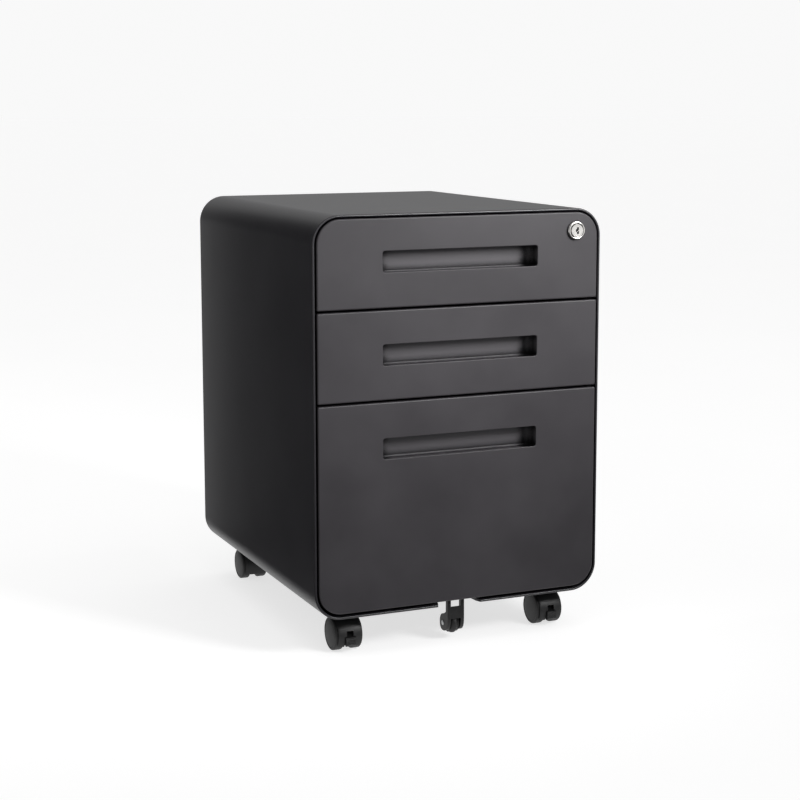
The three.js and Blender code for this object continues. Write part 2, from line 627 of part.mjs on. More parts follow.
for (const caster of CASTERS) {
  const group = new THREE.Group();
  group.position.set(caster.x, caster.y, 0);
  group.rotation.z = caster.turn;
  group.add(
    piece(`${caster.name}_caster_stem`, ZINC, casterStem()),
    piece(`${caster.name}_caster_hood`, PLASTIC, casterHood(caster.brake)),
    piece(`${caster.name}_wheel_a`, TREAD, casterWheel(-1)),
    piece(`${caster.name}_wheel_b`, TREAD, casterWheel(1)),
  );
  if (caster.brake) group.add(piece(`${caster.name}_brake_lever`, PLASTIC, brakeLever()));
  cabinet.add(group);
}

export default cabinet;
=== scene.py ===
# %% [markdown]
# # A mobile steel filing cabinet
# The real one is a pedestal that rolls under a desk: one sheet of steel is wrapped round the
# top, the sides and the floor, three drawers fill its front, and it stands on twin-wheel
# casters. Every cell makes one kind of piece or finish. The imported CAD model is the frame, so
# every measure below is in its millimetres, and pieces go where its nodes are.

# %% The frame
import math

import bmesh
import bpy
from mathutils import Matrix, Vector


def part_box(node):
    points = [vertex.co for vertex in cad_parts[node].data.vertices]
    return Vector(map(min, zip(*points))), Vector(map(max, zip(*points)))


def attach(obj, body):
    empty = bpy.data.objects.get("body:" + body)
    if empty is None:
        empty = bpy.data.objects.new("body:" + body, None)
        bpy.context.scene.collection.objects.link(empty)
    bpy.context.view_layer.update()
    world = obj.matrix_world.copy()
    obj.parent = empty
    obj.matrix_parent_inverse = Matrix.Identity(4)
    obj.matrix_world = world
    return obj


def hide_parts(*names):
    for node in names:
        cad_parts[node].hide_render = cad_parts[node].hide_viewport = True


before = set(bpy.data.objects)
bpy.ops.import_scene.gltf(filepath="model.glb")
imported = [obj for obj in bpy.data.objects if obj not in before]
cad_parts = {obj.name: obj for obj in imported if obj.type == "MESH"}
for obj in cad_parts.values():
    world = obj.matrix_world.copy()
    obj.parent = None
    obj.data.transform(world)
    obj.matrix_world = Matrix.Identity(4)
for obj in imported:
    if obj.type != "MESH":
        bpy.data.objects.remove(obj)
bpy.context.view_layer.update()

# %% Millimetres
MM = 0.001


def box_mm(node_name):
    """A CAD node's lowest and highest corners, in millimetres."""
    return [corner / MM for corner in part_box(node_name)]


shell_low, shell_high = box_mm("shell_wrap")
rim_y, back_y = shell_low.y, shell_high.y
face_y = box_mm("top_drawer_front")[0].y
SHEET = 1.2
print(f"shell {shell_high.x - shell_low.x:.1f} wide, {back_y - rim_y:.1f} deep, rim at {rim_y:.1f}")

# %% [markdown]
# ## One small function for nodes, and one for colours
# A material is a little graph. Adding a node is always the same three steps: make it, set its
# options, then fill its sockets with values or with other nodes' outputs. One function does
# that for every kind. Colours are picked as the eye sees them, in sRGB hex, and light is
# worked out in linear values, so one function turns the first into the second.

# %% Node and colour helpers
MIX_FACTOR, MIX_A, MIX_B, MIX_RESULT = 0, 6, 7, 2


def node(tree, kind, sockets, **options):
    """Adds one node. A socket takes a value or the output of another node."""
    made = tree.nodes.new("ShaderNode" + kind)
    for option, value in options.items():
        setattr(made, option, value)
    for name, value in sockets.items():
        if isinstance(value, bpy.types.NodeSocket):
            tree.links.new(value, made.inputs[name])
        else:
            made.inputs[name].default_value = value
    return made


def linear(hex_colour):
    """An sRGB colour such as #2c2c2d as linear red, green, blue and alpha."""
    channels = [int(hex_colour[i:i + 2], 16) / 255 for i in (1, 3, 5)]
    return [c / 12.92 if c < 0.04045 else ((c + 0.055) / 1.055) ** 2.4 for c in channels] + [1.0]


def per_mm(size):
    """The texture scale that makes a pattern cell this many millimetres wide."""
    return 1 / (size * MM)


def new_material(name):
    """An empty material and its node tree."""
    material = bpy.data.materials.new(name)
    material.use_nodes = True
    material.node_tree.nodes.clear()
    return material, material.node_tree


# %% [markdown]
# ## Powder coat
# The sheet steel is sprayed with a dry polyester powder and baked. The film melts and draws
# itself into a faint orange peel, a few millimetres from crest to crest, and it pulls thin
# over every bend, where it looks a little lighter and glossier. Bends are drawn lighter, partly
# for that thin film and partly as a painted highlight. A car-paint shader with flakes
# would glitter too much. A plain dielectric with a satin roughness, a low bump and a slightly
# uneven tone is closer. The peel is drawn about 2.5 mm wide, the real size. The grain of the
# powder is 0.05 mm and too fine to show, so it is drawn at 0.6 mm. Along the gaps, in inside
# corners and at the cups' ends the coat is painted near-black and less glossy where little of
# the surroundings is open: that is painted shade.

# %% Powder coat materials
PEEL_MM = 2.5
GRAIN_MM = 0.6
CLOUD_MM = 90


def powder_coat(name, colour, thin_film_and_highlight_colour, roughness, gloss, reach, full=0.85, painted_shade_deepest_at=0.35):
    """Baked polyester powder on sheet steel.

    Within reach mm of an inside corner the colour is painted darker and the gloss lower, as
    painted shade. There is none while the share of the surroundings that is open is at least
    full, and it is deepest at the share given last.
    """
    material, tree = new_material(name)
    place = node(tree, "TexCoord", {}).outputs["Object"]
    peel = node(tree, "TexNoise", {"Vector": place, "Scale": per_mm(PEEL_MM), "Detail": 2.0})
    grain = node(tree, "TexNoise", {"Vector": place, "Scale": per_mm(GRAIN_MM), "Detail": 1.0})
    cloud = node(tree, "TexNoise", {"Vector": place, "Scale": per_mm(CLOUD_MM), "Detail": 3.0})
    # Film thickness: a tone that drifts over a hand's width.
    drift = node(tree, "MapRange", {"Value": cloud.outputs[0], "From Min": 0.3, "From Max": 0.7,
                                    "To Min": 0.0, "To Max": 0.16})
    tone = node(tree, "Mix", {MIX_FACTOR: drift.outputs[0], MIX_A: linear(colour),
                              MIX_B: linear(thin_film_and_highlight_colour)}, data_type="RGBA")
    # Bends painted lighter, partly for thin film and partly as a painted highlight: the rounded
    # normal differs from the true one only at an edge.
    rounded = node(tree, "Bevel", {"Radius": 1.2 * MM}, samples=4)
    true = node(tree, "NewGeometry", {})
    bent = node(tree, "VectorMath", {0: rounded.outputs[0], 1: true.outputs["Normal"]},
                operation="DOT_PRODUCT")
    edge = node(tree, "MapRange", {"Value": bent.outputs["Value"], "From Min": 0.995,
                                   "From Max": 0.8, "To Min": 0.0, "To Max": 0.55})
    thin = node(tree, "Mix", {MIX_FACTOR: edge.outputs[0], MIX_A: tone.outputs[MIX_RESULT],
                              MIX_B: linear(thin_film_and_highlight_colour)}, data_type="RGBA")
    # Painted shade: near-black where little of the surroundings is open.
    open_sky = node(tree, "AmbientOcclusion", {"Distance": reach * MM}, samples=8)
    painted_shade = node(tree, "MapRange", {"Value": open_sky.outputs["AO"], "From Min": full,
                                      "From Max": painted_shade_deepest_at, "To Min": 0.0, "To Max": 0.94})
    coat = node(tree, "Mix", {MIX_FACTOR: painted_shade.outputs[0], MIX_A: thin.outputs[MIX_RESULT],
                              MIX_B: linear("#070708")}, data_type="RGBA")
    sheen = node(tree, "MapRange", {"Value": grain.outputs[0], "To Min": roughness - 0.05,
                                    "To Max": roughness + 0.05})
    height = node(tree, "Math", {0: grain.outputs[0], 1: 0.25, 2: peel.outputs[0]},
                  operation="MULTIPLY_ADD")
    bump = node(tree, "Bump", {"Height": height.outputs[0], "Strength": 0.10,
                               "Distance": 0.1 * MM})
    # The painted shade also dulls the reflection in those places.
    shine = node(tree, "MapRange", {"Value": painted_shade.outputs[0], "To Min": gloss, "To Max": 0.02})
    shader = node(tree, "BsdfPrincipled", {
        "Base Color": coat.outputs[MIX_RESULT], "Roughness": sheen.outputs[0], "IOR": 1.5,
        "Specular IOR Level": shine.outputs[0], "Normal": bump.outputs[0]})
    node(tree, "OutputMaterial", {"Surface": shader.outputs[0]})
    return material


# The shell is the glossiest, so its top mirrors the room. Its colour is darker than the
# fronts' as painted shade on its sides, and the cups' colour is lighter as painted light in
# their hollows.
shell_coat = powder_coat("satin_powder_coat_shell", "#1c1b1f", "#38373a", 0.38, 0.48, 4)
front_coat = powder_coat("satin_powder_coat_fronts", "#2b292c", "#525053", 0.44, 0.3, 4)
# In the cups the painted shade reaches 20 mm and sets in sooner, so it darkens their ends.
cup_coat = powder_coat("satin_powder_coat_cups", "#474548", "#555356", 0.48, 0.3, 20, 0.76, 0.6)
inner_coat = powder_coat("satin_powder_coat_inside", "#29282b", "#403f42", 0.50, 0.3, 5)
print("powder coats:", shell_coat.name, front_coat.name, inner_coat.name)

# %% [markdown]
# ## Zinc plate and nickel chrome
# Slides, rails, screws and the lock bar are bright zinc-plated steel. The plating keeps the
# rolling marks of the strip, so its gloss changes in fine lines along the length, and its tone
# drifts between blue-grey and grey. The lock is die-cast zinc under nickel and chrome: nearly a
# mirror, with fine scratches where keys have touched it.

# %% Plated metals
def zinc_plate(name, colour, stained, roughness):
    """Bright zinc plating over rolled or stamped steel."""
    material, tree = new_material(name)
    place = node(tree, "TexCoord", {}).outputs["Object"]
    along = node(tree, "Mapping", {"Vector": place, "Scale": (1.0, 0.03, 1.0)})
    lines = node(tree, "TexNoise", {"Vector": along.outputs[0], "Scale": per_mm(0.8),
                                    "Detail": 3.0})
    stain = node(tree, "TexNoise", {"Vector": place, "Scale": per_mm(14), "Detail": 4.0})
    tone = node(tree, "Mix", {MIX_FACTOR: stain.outputs[0], MIX_A: linear(colour),
                              MIX_B: linear(stained)}, data_type="RGBA")
    gloss = node(tree, "MapRange", {"Value": lines.outputs[0], "From Min": 0.3, "From Max": 0.7,
                                    "To Min": roughness - 0.08, "To Max": roughness + 0.1})
    bump = node(tree, "Bump", {"Height": lines.outputs[0], "Strength": 0.15,
                               "Distance": 0.05 * MM})
    shader = node(tree, "BsdfPrincipled", {
        "Base Color": tone.outputs[MIX_RESULT], "Metallic": 1.0, "Roughness": gloss.outputs[0],
        "Normal": bump.outputs[0]})
    node(tree, "OutputMaterial", {"Surface": shader.outputs[0]})
    return material


def nickel_chrome(name, colour, roughness):
    """Decorative chrome over nickel, with hairline scratches."""
    material, tree = new_material(name)
    place = node(tree, "TexCoord", {}).outputs["Object"]
    across = node(tree, "Mapping", {"Vector": place, "Scale": (0.15, 1.0, 1.0),
                                    "Rotation": (0.0, 0.6, 0.0)})
    scratch = node(tree, "TexNoise", {"Vector": across.outputs[0], "Scale": per_mm(0.35),
                                      "Detail": 2.0})
    gloss = node(tree, "MapRange", {"Value": scratch.outputs[0], "From Min": 0.35,
                                    "From Max": 0.75, "To Min": roughness,
                                    "To Max": roughness + 0.14})
    shader = node(tree, "BsdfPrincipled", {
        "Base Color": linear(colour), "Metallic": 1.0, "Roughness": gloss.outputs[0]})
    node(tree, "OutputMaterial", {"Surface": shader.outputs[0]})
    return material


zinc = zinc_plate("zinc_plated_steel", "#b9bcbd", "#9a9c9b", 0.32)
cam_steel = zinc_plate("zinc_plated_cam", "#c2c0b6", "#a19c8c", 0.36)
chrome = nickel_chrome("nickel_chrome_lock", "#dcdad7", 0.13)
print("plated metals:", zinc.name, cam_steel.name, chrome.name)

# %% [markdown]
# ## Moulded nylon
# Caster hoods, levers and the fork are black glass-filled nylon from a spark-eroded mould, so
# they have a dull, very fine texture. The wheels are plain nylon: smoother on their faces, with
# treads that pick up pale dust. The mould texture is 0.1 mm in reality and drawn at 0.7 mm.

# %% Nylon materials
def moulded_nylon(name, colour, dusty, roughness, dust_amount):
    """Injection-moulded nylon, with dust that collects in patches."""
    material, tree = new_material(name)
    place = node(tree, "TexCoord", {}).outputs["Object"]
    texture = node(tree, "TexNoise", {"Vector": place, "Scale": per_mm(0.7), "Detail": 1.0})
    patches = node(tree, "TexNoise", {"Vector": place, "Scale": per_mm(9), "Detail": 4.0})
    dust = node(tree, "MapRange", {"Value": patches.outputs[0], "From Min": 0.45,
                                   "From Max": 0.75, "To Min": 0.0, "To Max": dust_amount})
    tone = node(tree, "Mix", {MIX_FACTOR: dust.outputs[0], MIX_A: linear(colour),
                              MIX_B: linear(dusty)}, data_type="RGBA")
    gloss = node(tree, "MapRange", {"Value": patches.outputs[0], "To Min": roughness - 0.08,
                                    "To Max": roughness + 0.08})
    bump = node(tree, "Bump", {"Height": texture.outputs[0], "Strength": 0.12,
                               "Distance": 0.06 * MM})
    shader = node(tree, "BsdfPrincipled", {
        "Base Color": tone.outputs[MIX_RESULT], "Roughness": gloss.outputs[0], "IOR": 1.53,
        "Specular IOR Level": 0.35, "Normal": bump.outputs[0]})
    node(tree, "OutputMaterial", {"Surface": shader.outputs[0]})
    return material


hood_nylon = moulded_nylon("glass_filled_nylon", "#0d0d0e", "#232323", 0.46, 0.22)
wheel_nylon = moulded_nylon("nylon_wheel", "#0f0f10", "#2b2a29", 0.50, 0.30)
# Inside the keyway the walls are painted near-black, as painted shade in the keyhole, with the
# dull finish of the nylon.
keyway_painted_shade = moulded_nylon("keyway_painted_shade_nylon", "#050504", "#16140f", 0.60, 0.20)
print("nylon:", hood_nylon.name, wheel_nylon.name)

# %% [markdown]
# ## Tools of the workshop
# Every piece is built in mesh code from four operations that a sheet-metal or moulding shop
# would know: extrude a section, turn a profile, join rings of points into a skin, and cut one
# solid with another. Rings that all have the same number of points can be joined ring to ring,
# which keeps bends as clean bands of faces.

# %% Outlines
def arc(a, b, radius, start, end, steps):
    """Points on an arc about (a, b), in degrees, with both ends."""
    turns = [math.radians(start + (end - start) * i / steps) for i in range(steps + 1)]
    return [(a + radius * math.cos(t), b + radius * math.sin(t)) for t in turns]


def rounded_outline(a0, a1, b0, b1, low, high=None, steps=8):
    """A rectangle with one radius for its two lower and one for its two upper corners."""
    high = low if high is None else high
    return (arc(a1 - low, b0 + low, low, -90, 0, steps)
            + arc(a1 - high, b1 - high, high, 0, 90, steps)
            + arc(a0 + high, b1 - high, high, 90, 180, steps)
            + arc(a0 + low, b0 + low, low, 180, 270, steps))


def face_ring(low, high, inset, y, lower, upper=None, steps=6):
    """The rounded outline of a box seen from the front, this far inside its edges, at depth y."""
    outline = rounded_outline(low.x + inset, high.x - inset, low.z + inset, high.z - inset,
                              lower, upper, steps)
    return [(x, y, z) for x, z in outline]


def bent_strip(points, gauge, inside_radius=1.2, steps=4):
    """The section of a strip of sheet that follows the points, with a bend at each corner."""
    corners = [Vector(point) for point in points]
    path = [(corners[0], (corners[1] - corners[0]).normalized())]
    radius = inside_radius + gauge / 2
    for before, corner, after in zip(corners, corners[1:], corners[2:]):
        come, go = (corner - before).normalized(), (after - corner).normalized()
        turn = math.atan2(come.x * go.y - come.y * go.x, come.dot(go))
        side = math.copysign(radius, turn)
        start = corner - come * radius * math.tan(abs(turn) / 2)
        centre = start + side * Vector((-come.y, come.x))
        for i in range(steps + 1):
            aim = Matrix.Rotation(turn * i / steps, 2) @ come
            path.append((centre - side * Vector((-aim.y, aim.x)), aim))
    path.append((corners[-1], (corners[-1] - corners[-2]).normalized()))
    sides = [[tuple(at + half * Vector((-aim.y, aim.x))) for at, aim in path]
             for half in (gauge / 2, -gauge / 2)]
    return sides[0] + sides[1][::-1]


# %% Solids
PLACE = {"X": lambda a, b, t: (t, a, b), "Y": lambda a, b, t: (a, t, b),
         "Z": lambda a, b, t: (a, b, t)}


def skin(rings, closed=False, capped=True):
    """Joins rings of points, each to the next, into a surface."""
    mesh = bmesh.new()
    rows = [[mesh.verts.new(point) for point in ring] for ring in rings]
    for here, there in zip(rows, rows[1:] + ([rows[0]] if closed else [])):
        for i in range(len(here)):
            mesh.faces.new((here[i - 1], here[i], there[i], there[i - 1]))
    if capped and not closed:
        mesh.faces.new(rows[0])
        mesh.faces.new(rows[-1])
    return mesh


def extruded(outline, axis, start, end):
    """An outline carried along an axis."""
    return skin([[PLACE[axis](a, b, t) for a, b in outline] for t in (start, end)])


def turned(profile, axis="Z", segments=56, at=(0, 0, 0)):
    """A solid of revolution. Profile points are (radius, place along the axis)."""
    mesh = bmesh.new()
    angles = [2 * math.pi * i / segments for i in range(segments)]
    rows = [[mesh.verts.new(PLACE[axis](r * math.cos(a), r * math.sin(a), t))
             for a in (angles if r > 1e-6 else angles[:1])] for r, t in profile]
    loop = [] if len(rows[0]) == 1 and len(rows[-1]) == 1 else [rows[0]]
    for here, there in zip(rows, rows[1:] + loop):
        for i in range(segments):
            corners = [here[i - 1 if len(here) > 1 else 0], here[i % len(here)],
                       there[i % len(there)], there[i - 1 if len(there) > 1 else 0]]
            mesh.faces.new(list(dict.fromkeys(corners)))
    return moved(mesh, Matrix.Translation(at))


def moved(mesh, matrix):
    """The same mesh in another place."""
    bmesh.ops.transform(mesh, matrix=matrix, verts=mesh.verts)
    return mesh


def block(x0, x1, y0, y1, z0, z1):
    """A blank to cut or to cut with."""
    return extruded([(x0, y0), (x1, y0), (x1, y1), (x0, y1)], "Z", z0, z1)


def gathered(parts):
    """Puts several solids into one mesh, as pieces that are welded or pressed together."""
    whole = bmesh.new()
    for part in parts:
        carrier = bpy.data.meshes.new("carrier")
        part.to_mesh(carrier)
        part.free()
        whole.from_mesh(carrier)
        bpy.data.meshes.remove(carrier)
    return whole


def carved(base, *tools, how="DIFFERENCE"):
    """Cuts the tools out of a solid, or with how="UNION" fuses them on."""
    for tool in tools:
        pair = []
        for part in (base, tool):
            bmesh.ops.recalc_face_normals(part, faces=part.faces)
            carrier = bpy.data.meshes.new("carrier")
            part.to_mesh(carrier)
            part.free()
            pair.append(bpy.data.objects.new("carrier", carrier))
            bpy.context.collection.objects.link(pair[-1])
        work = pair[0].modifiers.new("work", "BOOLEAN")
        work.operation, work.object, work.solver = how, pair[1], "EXACT"
        base = bmesh.new()
        base.from_object(pair[0], bpy.context.evaluated_depsgraph_get())
        for spent in pair:
            bpy.data.meshes.remove(spent.data)
    return base


# %% Finishing a piece
SMOOTH_BELOW = math.radians(33)


def finished(name, mesh, material, body, stands_for=(), edge=0.0):
    """Turns a mesh in millimetres into a piece that rides on a body. edge rounds its edges."""
    bmesh.ops.recalc_face_normals(mesh, faces=mesh.faces)
    data = bpy.data.meshes.new(name)
    mesh.to_mesh(data)
    mesh.free()
    data.transform(Matrix.Scale(MM, 4))
    data.shade_smooth()
    data.set_sharp_from_angle(angle=SMOOTH_BELOW)
    data.materials.append(material)
    piece = bpy.data.objects.new(name, data)
    bpy.context.collection.objects.link(piece)
    if edge:
        round_edges(piece, edge)
    weighted = piece.modifiers.new("flat faces stay flat", "WEIGHTED_NORMAL")
    weighted.keep_sharp = True
    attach(piece, body)
    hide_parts(*stands_for)
    return piece


def round_edges(piece, radius):
    """Rounds sharp edges, as deburring, coating or a mould's fillets do."""
    rounding = piece.modifiers.new("rounded edges", "BEVEL")
    rounding.width = radius * MM
    rounding.segments = 2
    rounding.limit_method = "ANGLE"
    rounding.angle_limit = math.radians(40)
    rounding.use_clamp_overlap = True


# %% [markdown]
# ## The shell
# One sheet is bent round the top, the sides and the floor. Its front edge is folded back on
# itself, which hides the cut edge and gives the thin bright band round the drawers. A solidify
# modifier would give a square edge, so the sheet's whole section is drawn instead: out along
# the outside, round the fold, back inside, and the rings of that section follow the rounded
# rectangle. The floor is then notched for the fork of the fifth wheel.

# %% Shell
CORNER_R = 35
HEM = 3.3
HEM_DEPTH = 14


def shell_ring(inset, y):
    """The shell's outline, this far inside its outer face."""
    return face_ring(shell_low, shell_high, inset, y, CORNER_R - inset, steps=14)


fold = [(HEM / 2 - dx, dy) for dx, dy in arc(0, HEM / 2, HEM / 2, -180, 0, 8)]
hem_y = rim_y + HEM_DEPTH
section = [(0, back_y - 0.3), (0.3, back_y), (SHEET - 0.3, back_y), (SHEET, back_y - 0.3),
           (SHEET, hem_y + 0.5), (SHEET + 0.5, hem_y), (HEM - 0.4, hem_y), (HEM, hem_y - 0.4)]
section += [(inset, rim_y + dy) for inset, dy in fold]
shell = skin([shell_ring(inset, y) for inset, y in section], closed=True)
notch = [(-30.5, rim_y - 1), (30.5, rim_y - 1), (26.5, rim_y + 9)]
notch += arc(21, rim_y + 37, 3, 0, 90, 4) + arc(-21, rim_y + 37, 3, 90, 180, 4)
notch += [(-26.5, rim_y + 9)]
shell = carved(shell, extruded(notch, "Z", shell_low.z - 1, shell_low.z + HEM + 1))
finished("steel_shell", shell, shell_coat, "cabinet", ["shell_wrap"])
print("shell wrapped")

# %% [markdown]
# ## Screws and rivets
# The back is held by cross-head screws and the drawer fronts by the same screws from inside.
# One head is turned, its cross is cut with two tapered blades, and copies go wherever the real
# cabinet has one.

# %% Screw head
def blade(turn):
    """One arm of the driver's cross, narrower towards its tip."""
    top = [(-1.9, -0.45, 1.8), (1.9, -0.45, 1.8), (1.9, 0.45, 1.8), (-1.9, 0.45, 1.8)]
    tip = [(-0.7, -0.3, 0.1), (0.7, -0.3, 0.1), (0.7, 0.3, 0.1), (-0.7, 0.3, 0.1)]
    return moved(skin([tip, top]), Matrix.Rotation(turn, 4, "Z"))


dome = [(0, -0.6), (2.0, -0.6), (2.0, 0), (3.7, 0), (3.8, 0.35), (3.4, 1.0), (2.4, 1.45),
        (1.2, 1.62), (0, 1.65)]
screw_head = carved(turned(dome, segments=28), blade(0), blade(math.pi / 2))


def screws(places, toward):
    """Screw heads at these places, all with their cross facing the same way."""
    aim = Vector(toward).to_track_quat("Z", "Y").to_matrix().to_4x4()
    return gathered([moved(screw_head.copy(), Matrix.Translation(place) @ aim)
                     for place in places])


print("screw head:", len(screw_head.faces), "faces")

# %% [markdown]
# ## The back
# The back closes the wrap as a shallow pan with its flanges turned to the front. A broad
# rectangle is pressed two millimetres inwards, which keeps thin sheet from drumming, and the
# screws that hold the pan sit in it, below the face that goes against a wall.

# %% Back panel
back_low, back_high = box_mm("back_panel")
PRESSED = 2.2


def back_ring(inset, y):
    """The back panel's outline, this far inside its edge."""
    radius = max(CORNER_R - 1.5 - inset, 2.5)
    return face_ring(back_low, back_high, inset, y, radius, steps=12)


outside = [(0, back_low.y), (0, back_y - 1.8)]
outside += [(1.8 - 1.8 * math.cos(math.radians(t)), back_y - 1.8 + 1.8 * math.sin(math.radians(t)))
            for t in (22.5, 45, 67.5, 90)]
outside += [(34, back_y), (35.2, back_y - 0.3), (36.8, back_y - PRESSED + 0.3),
            (38, back_y - PRESSED)]
inside = [(38, back_y - PRESSED - SHEET), (36.4, back_y - PRESSED - SHEET + 0.3),
          (34.8, back_y - SHEET - 0.3), (33.6, back_y - SHEET), (2.4, back_y - SHEET),
          (1.5, back_y - SHEET - 0.3), (SHEET, back_y - SHEET - 0.9), (SHEET, back_low.y)]
finished("back_pan", skin([back_ring(inset, y) for inset, y in inside + outside]), shell_coat,
         "cabinet", ["back_panel"])
screw_x = back_high.x - 46
screw_rows = [shell_low.z + 60, (shell_low.z + shell_high.z) / 2, shell_high.z - 60]
back_places = [(side * screw_x, back_y - PRESSED, z) for side in (-1, 1) for z in screw_rows]
finished("back_screws", screws(back_places, (0, 1, 0)), zinc, "cabinet")
print("back pressed, with", len(back_places), "screws")

# %% [markdown]
# ## Drawer fronts
# A front is a pan folded from one sheet: the face, four edges that turn back, and a flange
# round the rear that the drawer box is screwed to. The bends have a radius of nearly two
# millimetres, and that small curve is what catches the light along every gap. The slot for the
# hand and the hole for the lock are punched, with a soft lip where the punch pulled the sheet
# in. The flat face has holes, so it is filled between its outlines at the end.

# %% Drawer front
DRAWERS = ("top", "middle", "file")
CORNERS = {"top": (2, 30), "middle": (2, 2), "file": (30, 2)}
BEND = 1.8
RETURN = 12
LIP = 0.9
lock_low, lock_high = box_mm("lock_housing")
lock_x = (lock_low.x + lock_high.x) / 2
lock_z = (lock_low.z + lock_high.z) / 2
lock_y = box_mm("lock_plug")[0].y


def slot_size(drawer):
    """The middle height, half width and half height of a drawer's hand slot."""
    low, high = box_mm(f"{drawer}_handle_cup")
    return (low.z + high.z) / 2, high.x - 8, (high.z - low.z) / 2 - 8


def slot_ring(drawer, grow, y):
    """The slot's outline, this much larger than the slot."""
    z, half, tall = slot_size(drawer)
    outline = rounded_outline(-half - grow, half + grow, z - tall - grow, z + tall + grow,
                              3 + grow, steps=6)
    return [(x, y, z) for x, z in outline]


def front_ring(drawer, inset, y):
    """The front's outline, this far inside its edge."""
    radii = [max(radius - inset, 0.3) for radius in CORNERS[drawer]]
    return face_ring(*box_mm(f"{drawer}_drawer_front"), inset, y, *radii, steps=12)


def flat_fill(mesh, y):
    """Fills the flat area between the open outlines that lie at this depth."""
    rim = [edge for edge in mesh.edges
           if edge.is_boundary and all(abs(v.co.y - y) < 0.001 for v in edge.verts)]
    bmesh.ops.triangle_fill(mesh, use_beauty=True, edges=rim)


punched = arc(LIP, face_y + LIP, LIP, -90, -180, 4) + [(0, face_y + SHEET)]
for drawer in DRAWERS:
    low, high = box_mm(f"{drawer}_drawer_front")
    thin = BEND - SHEET
    fore, rear = face_y + BEND, high.y - BEND
    path = arc(BEND, fore, BEND, -90, -180, 5) + arc(BEND, rear, BEND, 180, 90, 4)
    path += [(RETURN, high.y), (RETURN, high.y - SHEET)]
    path += arc(BEND, rear, thin, 90, 180, 3) + arc(BEND, fore, thin, 180, 270, 3)
    parts = [skin([front_ring(drawer, inset, y) for inset, y in path], capped=False),
             skin([slot_ring(drawer, grow, y) for grow, y in punched], capped=False)]
    if drawer == "top":
        hole = [(lock_x + x, y, lock_z + z) for y in (face_y, face_y + SHEET)
                for x, z in arc(0, 0, 9.8, 0, 345, 23)]
        parts.append(skin([hole[:24], hole[24:]], capped=False))
    front = gathered(parts)
    for y in (face_y, face_y + SHEET):
        flat_fill(front, y)
    finished(f"{drawer}_front_pan", front, front_coat, f"{drawer}_drawer",
             [f"{drawer}_drawer_front"])
print("drawer fronts folded:", len(DRAWERS))

# %% [markdown]
# ## Handle cups
# Behind every slot sits a pressed cup with round ends. It is a little larger than the slot, so
# the slot's lip throws a thin dark line along its top, and the curved right end falls into
# shade. The cups' coat deepens both with painted shade that reaches further than on the other
# parts. The cup is deep-drawn: its rings keep their rounded outline and close in towards the
# back, faster at the ends, where the radius is larger, than at the top and bottom.

# %% Handle cups
CUP_WALL = 1.0
CUP_FLANGE = 6
END_R = 9
EDGE_R = 2.5


def cup_ring(drawer, depth, wall):
    """One ring of the cup, on its inside (wall 0) or its outside."""
    low, high = box_mm(f"{drawer}_handle_cup")
    end = high.y - low.y - CUP_WALL + wall
    middle = (low.z + high.z) / 2
    sizes = []
    for half, radius in ((high.x - CUP_FLANGE, END_R + wall),
                         ((high.z - low.z) / 2 - CUP_FLANGE, EDGE_R + wall)):
        into = max(0.0, min(depth - (end - radius), radius))
        sizes.append(half + wall - radius + math.sqrt(radius ** 2 - into ** 2))
    wide, tall = sizes
    outline = rounded_outline(-wide, wide, middle - tall, middle + tall, EDGE_R + wall, steps=6)
    return [(x, low.y + depth, z) for x, z in outline]


def flange_ring(drawer, inset, y):
    """The outline of the cup's flange, this far inside its edge."""
    return face_ring(*box_mm(f"{drawer}_handle_cup"), inset, y, 4 - inset)


for drawer in DRAWERS:
    low, high = box_mm(f"{drawer}_handle_cup")
    deep = high.y - low.y
    steps = [(0.06 + 0.94 * (1 - (1 - i / 16) ** 1.8)) for i in range(17)]
    inner = [cup_ring(drawer, (deep - CUP_WALL) * step, 0) for step in steps[::-1]]
    outer = [cup_ring(drawer, deep * step, CUP_WALL) for step in steps]
    edge = [flange_ring(drawer, inset, low.y + y) for inset, y in
            ((0.3, 0), (0, 0.3), (0, CUP_WALL - 0.3), (0.3, CUP_WALL))]
    lips = [cup_ring(drawer, 0, 0.9), cup_ring(drawer, 0, 0.5)]
    finished(f"{drawer}_hand_cup", skin(inner + lips[::-1] + edge + outer), cup_coat,
             f"{drawer}_drawer", [f"{drawer}_handle_cup"])
print("cups drawn,", round(deep), "mm deep")

# %% [markdown]
# ## Drawer boxes
# Each drawer is an open steel tray behind its front, folded from thinner sheet. The two small
# trays have a rolled hem along the top, which stiffens them and spares the fingers. The file
# drawer has none, because two zinc-plated channels clip over its side walls, and hanging
# folders hook over those. A catch on the right wall meets the lock bar.

# %% Trays, rails and catches
TRAY_BEND = 2
TRAY_SHEET = 1.0
ROLL = 1.3
CATCH_Z = {"top": 488, "middle": 376, "file": 178}
bar_back = box_mm("lock_bar")[1].y


def tray_ring(drawer, inset, z):
    """The tray's outline in plan, this far inside its walls."""
    low, high = box_mm(f"{drawer}_drawer_box")
    outline = rounded_outline(low.x + inset, -low.x - inset, low.y + inset, high.y - inset,
                              max(TRAY_BEND + 0.5 - inset, 0.2), steps=4)
    return [(x, y, z) for x, y in outline]


